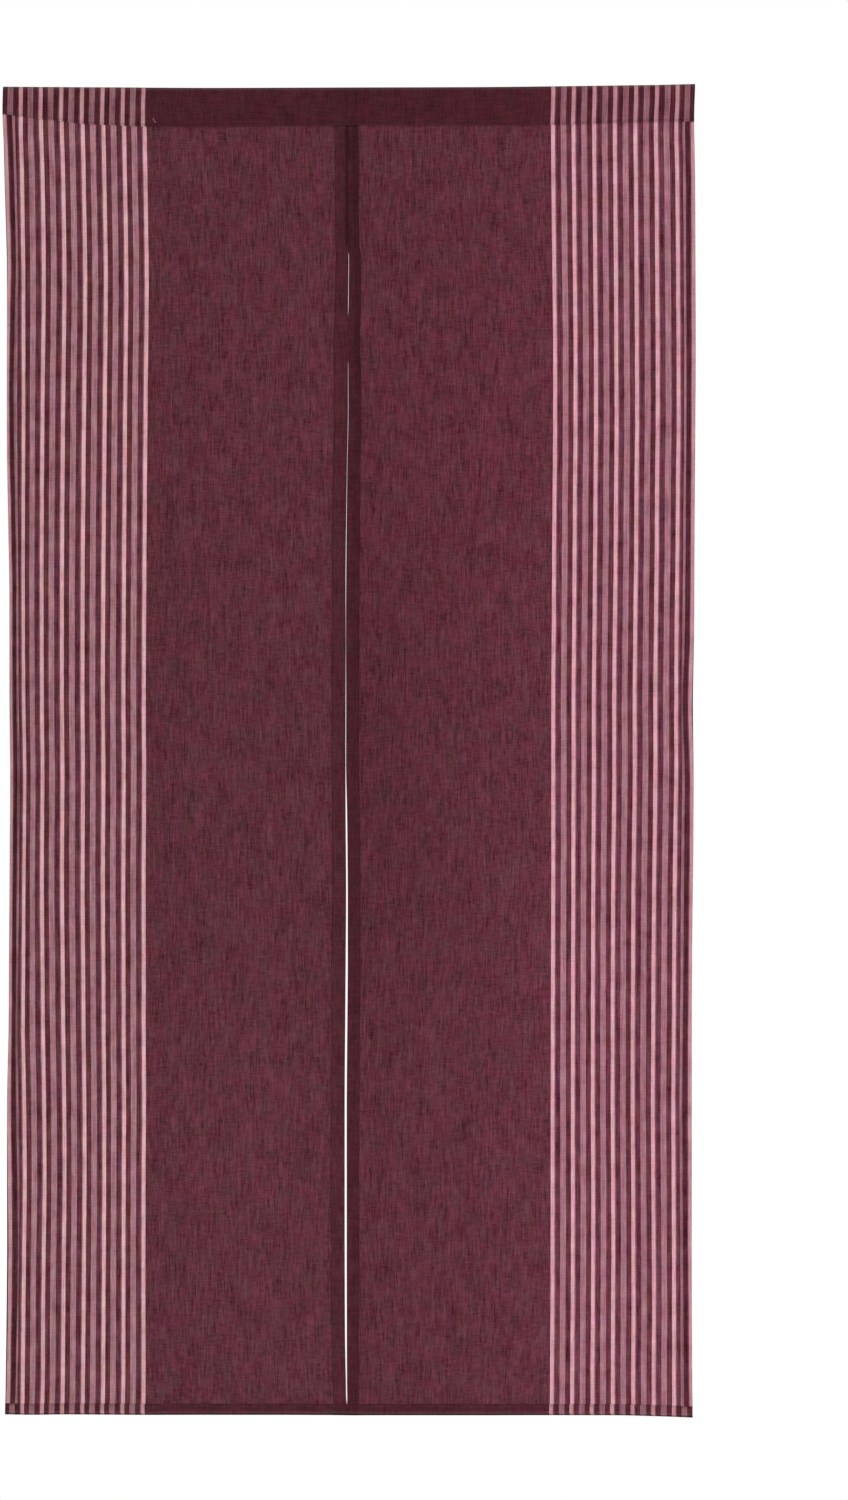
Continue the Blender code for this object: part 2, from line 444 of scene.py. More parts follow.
def fold_depth(across, drop):
    """How far the cloth lies behind its plane, from the soft folds."""
    depth = 0.0
    for (middle, upper, lower, half_width, deep) in FOLDS:
        reach = abs(across - middle) / half_width
        if reach < 1.0:
            strength = smooth_step((drop - upper) / FOLD_FADE) * smooth_step((lower - drop) / FOLD_FADE)
            depth += deep * strength * math.cos(reach * math.pi / 2) ** 2
    return depth


def unevenness(across, drop):
    """The small waves of woven cloth that was washed and hung, and its gathers under the seam."""
    broad = WAVE_DEPTH * noise.noise(Vector((across * 10, drop * 4, 1)))
    fine = RIPPLE_DEPTH * noise.noise(Vector((across * 38, drop * 15, 2)))
    fading = math.exp(-max(drop - SEAM_DROP, 0.0) / GATHER_REACH)
    gathers = GATHER_DEPTH * noise.noise(Vector((across * 60, drop * 5, 3))) * fading
    hangs_free = smooth_step((drop - 0.045) / 0.12)
    past_seam = smooth_step((drop - 0.04) / 0.01)
    return hangs_free * (broad + fine) + past_seam * gathers


def patchiness(across, drop):
    """How much lighter, as painted light and shade, and how much redder the cloth is here than
    elsewhere.
    """
    (lighter, redder) = (0.0, 0.0)
    for (middle, level, half_width, half_length, light, red) in PATCHES:
        reach = math.hypot((across - middle) / half_width, (drop - level) / half_length)
        share = smooth_step(1.0 - reach)
        lighter += light * share
        redder += red * share
    return lighter, redder


def hung_point(side, flat, drop, out):
    """The place of a point of this half that lies this far in front of the hanging cloth."""
    across = across_at(side, flat, drop)
    y = HANG_Y - out + fold_depth(across, drop) + unevenness(across, drop)
    return Vector((across, y, -drop))


def turned_edge(stage, share, fold, width, lift):
    """A hem's section, from its fold to its tucked raw edge: how far in from the fold, how far out, how
    far along the cloth past the fold, and the direction (in, out) in which the cloth's front faces."""
    turn = lift / 4
    straight = width - turn - fold
    past_fold = (math.pi - 1) * fold
    angle = share * math.pi
    (sine, cosine) = (math.sin(angle), math.cos(angle))
    if stage == "fold":
        return fold * (1 - sine), fold * (1 - cosine), fold * (angle - 1), (sine, cosine)
    if stage == "flap":
        out = 2 * fold + (lift - 2 * fold) * smooth_step(share)
        return fold + straight * share, out, past_fold + straight * share, (0.0, -1.0)
    if stage == "turn":
        flat = past_fold + straight + turn * angle
        return width - turn + turn * sine, lift - turn + turn * cosine, flat, (-sine, -cosine)
    flat = past_fold + straight + turn * math.pi + TUCK * share
    return width - turn - TUCK * share, lift - 2 * turn, flat, (0.0, 1.0)


def stage_shares(stage, shares):
    return [(stage, share) for share in shares]


def even(count):
    """This many even shares of a length, without its start."""
    return [(step + 1) / count for step in range(count)]


SEAM_SHARE = 0.82  # of a hem's width, from its fold to its row of stitches
LIT_SHARE = 0.88  # and to the strip by its inner edge that stands up into the light

# From the end of the body to the tucked raw edge.
TURNED = [
    *stage_shares("fold", [0.0, *even(4)]),
    *stage_shares("flap", [0.08, 0.16, 0.4, 0.7, SEAM_SHARE, LIT_SHARE, 1.0]),
    *stage_shares("turn", even(4)),
    *stage_shares("tuck", [1.0]),
]


def columns_of(side):
    """The stations across a half, from the outer tucked edge to the centre one."""
    outer = [("outer", stage, share) for (stage, share) in reversed(TURNED)]
    centre = [("centre", stage, share) for (stage, share) in TURNED]
    body = [("behind outer", share) for share in (0.08, 0.5, 1.0)]
    body += [("body", step / HANG_COLUMNS) for step in range(HANG_COLUMNS + 1)]
    body += [("behind centre", share) for share in (0.0, 0.5, 0.92)]
    return outer + body + centre


def station(side, column, drop):
    """A column's place at this drop: flat distance of the cloth under it, out, flat distance of its own
    cloth, its painted shade from lying double, and its depth in the painted shade of the sewn join."""
    fold_at = reading(EDGES[side], drop, 2)
    width = FLAT_WIDTH[side]
    centre = centre_hem(side, drop)
    (kind, share) = (column[0], column[-1])
    if kind == "outer":
        (along, out, flat, _) = turned_edge(column[1], share, SIDE_FOLD, SIDE_HEM, HEM_LIFT)
        dark = HEM_DARK
        if column[1] in ("turn", "tuck") or column[1] == "flap" and share >= LIT_SHARE:
            dark = reading(EDGE_SHADE, drop, 1 if side == "left" else 2)
        return fold_at + along, out, fold_at - flat * HEM_EASE, dark, 0.0
    if kind == "centre":
        (along, out, flat, _) = turned_edge(column[1], share, SIDE_FOLD, centre, HEM_LIFT)
        sewn = join_dark(along) if drop < JOINED else 0.0
        return width - along, out, width + flat, centre_dark(side, along / centre, drop), sewn
    outer_end = fold_at + SIDE_HEM
    centre_end = width - centre
    if kind == "behind outer":
        start = fold_at + SIDE_FOLD
        flat = start + (outer_end - BESIDE_EDGE - start) * share
        return flat, 0.0, flat, HEM_DARK, 0.0
    if kind == "behind centre":
        start = centre_end + BESIDE_EDGE
        flat = start + (width - SIDE_FOLD - start) * share
        return flat, 0.0, flat, centre_dark(side, 1.0 - share, drop), 0.0
    start = outer_end + BESIDE_EDGE
    flat = start + (centre_end - BESIDE_EDGE - start) * share
    return flat, 0.0, flat, 0.0, 0.0


def crossing(side, flat, drop):
    """1 where a side hem or the centre hem lies in the layers of a cross hem, 0 between them."""
    from_outer = flat - reading(EDGES[side], drop, 2) - SIDE_HEM
    from_centre = FLAT_WIDTH[side] - centre_hem(side, drop) - flat
    return 1.0 - smooth_step((min(from_outer, from_centre) + CROSSING_START) / CROSSING_FADE)


def section_down(side, column):
    """One column from the flap's tucked edge, over the rod and down to the bottom hem's tucked edge.
    Each row is (out, height, facing out, facing up, flat distance down, cross layers, squash, skew,
    shade, rubbing with painted highlight)."""
    (flat_top, *_) = station(side, column, POCKET_DROP)
    (flat_low, *_) = station(side, column, BOTTOM_DROP)
    top_at = across_at(side, flat_top, POCKET_DROP)
    low_at = across_at(side, flat_low, BOTTOM_DROP)
    top = reading(LEVELS, top_at, 1) - CLOTH / 2
    lower = reading(LEVELS, top_at, 2)
    bottom = reading(LEVELS, low_at, 3) + CLOTH / 2
    seam = lower + SEAM_RISE
    lift = HEM_LIFT + HEM_BULK * crossing(side, flat_top, SEAM_DROP)
    (rod_out, rod_up) = (HANG_Y, top - ROD_ROOM)

    # The flanks of the pocket touch its rounded top.
    def touching(out):
        away = math.hypot(out - rod_out, seam - rod_up)
        return math.atan2(seam - rod_up, out - rod_out), math.acos(ROD_ROOM / away), away

    (towards, opening, away) = touching(lift)
    front_angle = towards + opening
    front_length = math.sqrt(away**2 - ROD_ROOM**2)
    (towards, opening, away) = touching(0.0)
    back_angle = towards - opening + 2 * math.pi
    back_length = math.sqrt(away**2 - ROD_ROOM**2)

    rows = []
    skew = reading(FLAP_SKEW, top_at, 1)
    front_end = (front_angle - math.pi / 2) * ROD_ROOM
    seam_flat = front_end - front_length
    turn = lift / 4
    for (stage, share) in [("tuck", 1.0), *stage_shares("turn", [1.0, 0.75, 0.5, 0.25, 0.0])]:
        (along, out, _, (facing_down, facing_out)) = turned_edge(stage, share, 0.0, SEAM_RISE, lift)
        (up, facing_up) = (seam - along, -facing_down)
        past = SEAM_RISE - turn + turn * math.pi * (share if stage == "turn" else 1.0)
        past += TUCK * (stage == "tuck")
        flat = seam_flat - past
        squash = TUCK_SQUASH if stage == "tuck" else 1.0 - (1.0 - TUCK_SQUASH) * share
        rows.append((out, up, facing_out, facing_up, flat, 1.0, squash, skew, 0.0, TUCK_WORN_AND_LIT))
    touch = (rod_out + ROD_ROOM * math.cos(front_angle), rod_up + ROD_ROOM * math.sin(front_angle))
    (facing_out, facing_up) = (-math.cos(front_angle), -math.sin(front_angle))
    for share in [0.0, 0.025, GROOVE_SHARE, *even(9)[:-1]]:
        out = lift + (touch[0] - lift) * share
        up = seam + (touch[1] - seam) * share
        flat = seam_flat + front_length * share
        shade = GROOVE_SHADE * max(1.0 - share / GROOVE_SHARE, 0.0)
        rows.append((out, up, facing_out, facing_up, flat, 1.0, 1.0, skew * (1.0 - share), shade, 0.0))
    for share in [0.0, *even(14)]:
        angle = front_angle + (back_angle - front_angle) * share
        (sine, cosine) = (math.sin(angle), math.cos(angle))
        flat = (angle - math.pi / 2) * ROD_ROOM
        (out, up) = (rod_out + ROD_ROOM * cosine, rod_up + ROD_ROOM * sine)
        # Wear with a painted highlight where the pocket bends over the rod and catches the light from
        # above.
        worn_and_lit = smooth_step((sine - 0.1) / 0.6)  # where it bends over the rod
        rows.append((out, up, -cosine, -sine, flat, 1.0, 1.0, 0.0, 0.0, worn_and_lit))
    touch = (rod_out + ROD_ROOM * math.cos(back_angle), rod_up + ROD_ROOM * math.sin(back_angle))
    back_end = (back_angle - math.pi / 2) * ROD_ROOM
    (facing_out, facing_up) = (-math.cos(back_angle), -math.sin(back_angle))
    for share in even(9):
        out = touch[0] * (1 - share)
        up = touch[1] + (seam - touch[1]) * share
        flat = back_end + back_length * share
        rows.append((out, up, facing_out, facing_up, flat, 1.0, 1.0, 0.0, 0.0, 0.0))
    seam_flat = back_end + back_length
    hem_top = bottom + BOTTOM_HEM
    bulk = crossing(side, flat_low, HEM_DROP)
    fold = SIDE_FOLD + HEM_BULK / 2 * bulk
    lift = HEM_LIFT + HEM_BULK * bulk
    shaded = reading(FLAP_SHADE, top_at, 1)
    heights = [(lower + BESIDE_EDGE, 1.0, 0.0), (lower - BESIDE_EDGE, 0.0, shaded)]
    first = lower - FLAP_SHADOW
    last = hem_top + BESIDE_EDGE
    heights += [(first + (last - first) * step / HANG_ROWS, 0.0, 0.0) for step in range(HANG_ROWS + 1)]
    heights += [(hem_top - BESIDE_EDGE, HEM_DARK, 0.0), ((hem_top + bottom) / 2, HEM_DARK, 0.0)]
    for (up, layers, shade) in heights:
        rows.append((0.0, up, 1.0, 0.0, seam_flat + seam - up, layers, 1.0, 0.0, shade, 0.0))
    bottom_flat = seam_flat + seam - bottom
    for (stage, share) in TURNED:
        (along, out, flat, (facing_up, facing_out)) = turned_edge(stage, share, fold, BOTTOM_HEM, lift)
        (up, flat) = (bottom + along, flat + bottom_flat)
        squash = {"turn": 1.0 - (1.0 - TUCK_SQUASH) * share, "tuck": TUCK_SQUASH}.get(stage, 1.0)
        (shade, worn_and_lit) = (0.0, 0.0)
        if stage == "fold" or stage == "flap" and share < LOW_FOLD_SHARE:
            shade = LOW_FOLD_SHADE
        elif stage == "flap" and share < LOW_WORN_AND_LIT_SHARE:
            worn_and_lit = 1.0
        elif stage != "flap" or share >= LIT_SHARE:
            shade = reading(CORNER_SHADE, low_at, 1)
        folded_up = smooth_step(share / LOW_SKEW_SHARE) if stage == "flap" else stage != "fold"
        skew = reading(HEM_SKEW, low_at, 1) * folded_up
        rows.append((out, up, facing_out, facing_up, flat, BOTTOM_DARK, squash, skew, shade, worn_and_lit))
    return rows


def weave_half(side):
    """The mesh of a half, with its flat distances as the UV map, and as attributes its layers, its
    painted shade, the rubbing and painted highlight along its folds, and its lighter patches of
    painted light and shade and its redder ones."""
    columns = columns_of(side)
    sections = [section_down(side, column) for column in columns]
    (last_column, last_row) = (len(columns) - 1, len(sections[0]) - 1)
    bm = bmesh.new()
    bmesh.ops.create_grid(bm, x_segments=last_column, y_segments=last_row, size=0.5)
    layers = bm.verts.layers.float.new("layers")
    shade = bm.verts.layers.float.new("shade")
    wear_and_highlight = bm.verts.layers.float.new("wear_and_highlight")
    lighter = bm.verts.layers.float.new("lighter")
    redder = bm.verts.layers.float.new("redder")
    flat_place = {}
    for vertex in bm.verts:
        index = round((vertex.co.x + 0.5) * last_column)
        # On the left half the outer edge comes first, on the right half the inner edge.
        column = index if side == "left" else last_column - index
        row = round((0.5 - vertex.co.y) * last_row)
        place = sections[column][row]
        (out, up, facing_out, facing_up, down, cross, squash, skew, shaded, worn_and_lit) = place
        (under, lift, flat, in_hem, sewn) = station(side, columns[column], -up)
        lift *= squash
        drop = -up - facing_up * lift
        vertex.co = hung_point(side, under, drop, out + facing_out * lift)
        vertex.co.x += skew
        vertex[layers] = 1.0 + cross + in_hem * (CROSSED_DARK if cross > 0.0 else 1.0)
        vertex[shade] = max(shaded, sewn * (POCKET_JOIN_SHADE if cross > 0.0 else 1.0))
        vertex[wear_and_highlight] = worn_and_lit
        (vertex[lighter], vertex[redder]) = patchiness(vertex.co.x, -vertex.co.z)
        flat_place[vertex.index] = (flat, -down)
    uv = bm.loops.layers.uv.new("flat")
    for face in bm.faces:
        face.smooth = True
        for loop in face.loops:
            loop[uv].uv = flat_place[loop.vert.index]
    return bm


def add_piece(name, bm, *materials):
    mesh = bpy.data.meshes.new(name)
    bm.to_mesh(mesh)
    bm.free()
    for material in materials:
        mesh.materials.append(material)
    piece = bpy.data.objects.new(name, mesh)
    bpy.context.scene.collection.objects.link(piece)
    return piece


def add_node(tree, kind, **settings):
    node = tree.nodes.new("ShaderNode" + kind)
    for (name, value) in settings.items():
        setattr(node, name, value)
    return node


def feed(tree, socket, source):
    """Gives a socket another node's output, or a plain value."""
    if isinstance(source, bpy.types.NodeSocket):
        tree.links.new(source, socket)
    else:
        socket.default_value = source


def reckon(tree, operation, *values, clamp=False):
    node = add_node(tree, "Math", operation=operation, use_clamp=clamp)
    for (socket, value) in zip(node.inputs, values):
        feed(tree, socket, value)
    return node.outputs[0]


def mix_colours(tree, share, first, second, how="MIX"):
    node = add_node(tree, "Mix", data_type="RGBA", blend_type=how)
    for (index, value) in ((0, share), (6, first), (7, second)):
        feed(tree, node.inputs[index], value)
    return node.outputs[2]


def spread(tree, value, low, high):
    """0 up to the low value and 1 from the high one, smooth between them."""
    node = add_node(tree, "MapRange", interpolation_type="SMOOTHSTEP")
    for (index, source) in enumerate((value, low, high)):
        feed(tree, node.inputs[index], source)
    return node.outputs[0]


def new_group(name, inputs, outputs):
    """A shader node group, with its input and output nodes."""
    tree = bpy.data.node_groups.new(name, "ShaderNodeTree")
    for (in_out, sockets) in (("INPUT", inputs), ("OUTPUT", outputs)):
        for (socket, kind) in sockets.items():
            tree.interface.new_socket(socket, in_out=in_out, socket_type="NodeSocket" + kind)
    return tree, tree.nodes.new("NodeGroupInput"), tree.nodes.new("NodeGroupOutput")


LIGHT_LEVEL = 1.36  # how much brighter than its own colour the studio light shows the cloth
SHINE = 0.004  # and the little light that it adds by shining off the cloth
DARKEST = 0.0005


def yarn(red, green, blue):
    """A yarn's own colour, from the 0 to 255 values that it has in the studio light."""
    seen = [((value / 255 + 0.055) / 1.055) ** 2.4 for value in (red, green, blue)]
    return tuple(max(value - SHINE, DARKEST) / LIGHT_LEVEL for value in seen) + (1.0,)


YARN_PITCH = 0.0007
UNLIKE = 3.7  # how far apart in the noise two neighbouring threads lie
RED_STRENGTH = 2.7  # of the hues that wander between dull red and crimson
BLUE_STRENGTH = 0.6  # of those between brown and purple in the plain cloth
STRIPED_BLUE = 2.2  # and how much stronger these are in the stripes
STRIPED_SQUEEZE = 1.1  # how much closer together the hues lie in the stripes
STRIPED_FADE = 0.004  # over which their hues come in

# The slubby yarns of the whole cloth: how light each spot is where the cloth lies single, lies double
# or is striped, how the colours of its dark and pale yarns wander, and the relief of the weave.
(heather, given, result) = new_group(
    "slubby cotton",
    {"Flat": "Vector", "Start": "Float"},
    {
        "Light": "Float",
        "Double Light": "Float",
        "Striped Light": "Float",
        "Dark Tint": "Color",
        "Pale Tint": "Color",
        "Relief": "Float",
    },
)
parts = add_node(heather, "SeparateXYZ")
feed(heather, parts.inputs[0], given.outputs["Flat"])
(across, down) = (parts.outputs[0], parts.outputs[1])
first_spot = given.outputs["Start"]


def spots_at(place, roughness):
    """Noise from -0.5 to 0.5, with about one spot for each unit of the place."""
    spots = add_node(heather, "TexNoise", noise_dimensions="2D")
    feed(heather, spots.inputs["Vector"], place)
    for (socket, value) in (("Scale", 1.0), ("Detail", 1.0), ("Roughness", roughness)):
        spots.inputs[socket].default_value = value
    return reckon(heather, "SUBTRACT", spots.outputs["Fac"], 0.5)


def slubs(place, per_metre, start):
    """Such noise with this many spots a metre across and down the cloth."""
    stretch = add_node(heather, "Mapping")
    feed(heather, stretch.inputs["Vector"], place)
    stretch.inputs["Scale"].default_value = (*per_metre, 1.0)
    stretch.inputs["Location"].default_value = (start, start * 0.7, 0.0)
    return spots_at(stretch.outputs[0], 0.55)


def threads(counted, along, width, per_metre):
    """Such noise that is the same all across a thread and changes along it."""
    thread = reckon(heather, "FLOOR", reckon(heather, "MULTIPLY", counted, 1 / width))
    place = add_node(heather, "CombineXYZ")
    feed(heather, place.inputs[0], reckon(heather, "MULTIPLY_ADD", thread, UNLIKE, first_spot))
    feed(heather, place.inputs[1], reckon(heather, "MULTIPLY_ADD", along, per_metre, first_spot))
    return spots_at(place.outputs[0], 0.5)


def weigh(*weighted):
    """How light a spot is, from its noises and how strongly each of them shows."""
    total = 0.5
    for (weight, value) in weighted:
        total = reckon(heather, "MULTIPLY_ADD", value, weight, total)
    return reckon(heather, "ADD", total, 0.0, clamp=True)


streaks = threads(across, down, 0.0013, 14)
long_warp = threads(across, down, 0.0015, 38)
short_warp = threads(across, down, 0.00095, 110)
long_weft = threads(down, across, 0.0019, 45)
short_weft = threads(down, across, 0.00095, 80)
moved = add_node(heather, "VectorMath", operation="ADD")
feed(heather, moved.inputs[0], given.outputs["Flat"])
feed(heather, moved.inputs[1], first_spot)
place = moved.outputs[0]
patches = slubs(place, (45, 30), 4.0)
blotches = slubs(place, (75, 40), 9.0)
light = weigh((0.7, long_warp), (0.55, short_warp), (0.55, short_weft), (0.3, streaks), (0.25, patches))
feed(heather, result.inputs["Light"], light)
light = weigh((0.4, long_warp), (0.4, short_warp), (0.4, long_weft), (0.2, short_weft), (0.25, patches))
feed(heather, result.inputs["Double Light"], light)
light = weigh((0.8, blotches), (0.9, streaks), (0.55, long_warp), (0.6, short_warp), (0.55, short_weft))
feed(heather, result.inputs["Striped Light"], light)

# The hues wander between crimson and a dull red, and faster from side to side among the stripes, where
# they also wander between brown and purple.
parts = add_node(heather, "SeparateXYZ")
feed(heather, parts.inputs[0], place)
closer = reckon(heather, "MINIMUM", across, STRIPED)
squeezed = add_node(heather, "CombineXYZ")
shifted = reckon(heather, "MULTIPLY_ADD", closer, STRIPED_SQUEEZE, parts.outputs[0])
feed(heather, squeezed.inputs[0], shifted)
feed(heather, squeezed.inputs[1], parts.outputs[1])
red = slubs(squeezed.outputs[0], (44, 36), 5.0)
red = reckon(heather, "MULTIPLY_ADD", red, RED_STRENGTH, 0.5, clamp=True)
blue = slubs(squeezed.outputs[0], (40, 30), 13.0)
in_stripes = spread(heather, across, STRIPED, STRIPED - STRIPED_FADE)
strength = reckon(heather, "MULTIPLY_ADD", in_stripes, STRIPED_BLUE, BLUE_STRENGTH)
blue = reckon(heather, "MULTIPLY", blue, strength)
blue = reckon(heather, "ADD", blue, 0.5, clamp=True)
TINTS = {
    # what multiplies a yarn's colour where it is dull red, crimson, brown and purple
    "Dark Tint": ((0.925, 1.085, 1.00), (1.075, 0.915, 1.00), (1.02, 1.02, 0.90), (0.98, 0.98, 1.10)),
    "Pale Tint": ((0.965, 1.04, 1.00), (1.035, 0.96, 1.00), (1.01, 1.01, 0.96), (0.99, 0.99, 1.04)),
}
for (name, tints) in TINTS.items():
    (dull, crimson, brown, purple) = [(*tint, 1.0) for tint in tints]
    reds = mix_colours(heather, red, dull, crimson)
    blues = mix_colours(heather, blue, brown, purple)
    feed(heather, result.inputs[name], mix_colours(heather, 1.0, reds, blues, "MULTIPLY"))
waves = []
for direction in (across, down):
    turns = reckon(heather, "MULTIPLY", direction, math.pi / YARN_PITCH)
    waves.append(reckon(heather, "SINE", turns))
over_under = reckon(heather, "MULTIPLY", *waves)
feed(heather, result.inputs["Relief"], reckon(heather, "MULTIPLY_ADD", over_under, 0.5, 0.5))

PINK = (yarn(187, 137, 142), yarn(233, 186, 192))
DARK_RED = (yarn(66, 26, 33), yarn(112, 65, 73))
MAUVE = (yarn(142, 94, 102), yarn(188, 142, 151))
MAUVE_GAP = (yarn(126, 80, 88), yarn(172, 126, 135))
PURPLE = (yarn(65, 24, 34), yarn(113, 67, 78))
ROSE = (yarn(102, 54, 63), yarn(147, 101, 112))
FIELD = (yarn(50, 10, 19), yarn(118, 67, 79))

# One repeat of the warp stripes: where each colour starts and ends, in mm from the middle of a pink
# stripe towards the middle of the curtain.
REPEAT = (
    (0.0, 2.2, PINK),
    (2.6, 8.8, DARK_RED),
    (9.3, 10.1, MAUVE),
    (10.7, 10.7, MAUVE_GAP),
    (11.3, 11.8, MAUVE),
    (12.4, 12.4, MAUVE_GAP),
    (13.1, 13.6, MAUVE),
    (14.3, 14.3, MAUVE_GAP),
    (15.0, 15.8, MAUVE),
    (16.5, 22.0, PURPLE),
    (22.5, 23.5, ROSE),
    (24.0, 26.2, PINK),
)

# The striped and plain parts of the cloth, in two shades that the slubs mix.
(stripes, given, result) = new_group(
    "warp stripes",
    {"Flat": "Vector", "Light": "Float", "Striped Light": "Float"},
    {"Colour": "Color", "Pale": "Float"},
)
parts = add_node(stripes, "SeparateXYZ")
feed(stripes, parts.inputs[0], given.outputs["Flat"])
across = parts.outputs[0]
repeats = reckon(stripes, "MULTIPLY", reckon(stripes, "SUBTRACT", across, FIRST_PINK), 1 / PITCH)
phase = reckon(stripes, "FRACT", repeats)
shades = []
for shade in (0, 1):
    ramp = add_node(stripes, "ValToRGB")
    feed(stripes, ramp.inputs[0], phase)
    stops = ramp.color_ramp.elements
    stops.remove(stops[1])
    first = True
    for (start, end, colours) in REPEAT:
        for at in sorted({start, end}):
            stop = stops[0] if first else stops.new(at / 1000 / PITCH)
            first = False
            stop.position = at / 1000 / PITCH
            stop.color = colours[shade]
    shades.append(ramp.outputs[0])
striped = mix_colours(stripes, given.outputs["Striped Light"], *shades)
plain = mix_colours(stripes, given.outputs["Light"], *FIELD)
past_stripes = spread(stripes, across, STRIPED - 0.0002, STRIPED + 0.0003)
colour = mix_colours(stripes, past_stripes, striped, plain)
feed(stripes, result.inputs["Colour"], colour)
brightness = add_node(stripes, "RGBToBW")
feed(stripes, brightness.inputs[0], colour)
feed(stripes, result.inputs["Pale"], spread(stripes, brightness.outputs[0], 0.03, 0.16))


def new_material(name):
    """A material, with its node tree and its shader."""
    material = bpy.data.materials.new(name)
    material.use_nodes = True
    return material, material.node_tree, material.node_tree.nodes["Principled BSDF"]


def raise_up(tree, shader, height, strength, depth):
    """Shows a height from 0 to 1 as relief of this depth."""
    bump = add_node(tree, "Bump")
    bump.inputs["Strength"].default_value = strength
    bump.inputs["Distance"].default_value = depth
    feed(tree, bump.inputs["Height"], height)
    feed(tree, shader.inputs["Normal"], bump.outputs[0])


def attribute(tree, name):
    return add_node(tree, "Attribute", attribute_name=name).outputs["Fac"]


def use_group(tree, group, **sources):
    node = add_node(tree, "Group", node_tree=group)
    for (name, source) in sources.items():
        feed(tree, node.inputs[name], source)
    return node.outputs


# What multiplies the cloth's colours, for its dark and its pale yarns.
# Painted shade where the cloth lies double and lets less light through.
DOUBLED = ((0.60, 0.48, 0.50, 1.0), (0.73, 0.69, 0.69, 1.0))  # where it lies double
# Painted light: lighter towards the bottom, and a little less green and blue near the top.
LOWER_PAINTED_LIGHT = ((1.08, 1.09, 1.09, 1.0), (1.01, 1.01, 1.01, 1.0))  # at the lower of these two heights
PAINTED_LIGHT_HEIGHTS = (-1.8, -0.4)
UPPER_TONE = (1.0, 0.98, 0.985, 1.0)  # at the higher one, for all yarns
INNER_TONE_AT = (0.12, 0.42)  # flat distances between which the outer tone gives way to the inner one
THIRD_LAYER = 0.5  # how much of the light a third layer takes
# The grey of worn yarn, also standing for a painted highlight on the folds, and how much of it shows at
# most.
WORN_AND_LIT_YARN = (0.50, 0.38, 0.34, 1.0)
MOST_WORN_AND_LIT = 0.05
DEEPEST_SHADE = 0.65
# Black, mixed in as painted shade for a third layer and along seams and folds.
DARKNESS = (0.0, 0.0, 0.0, 1.0)


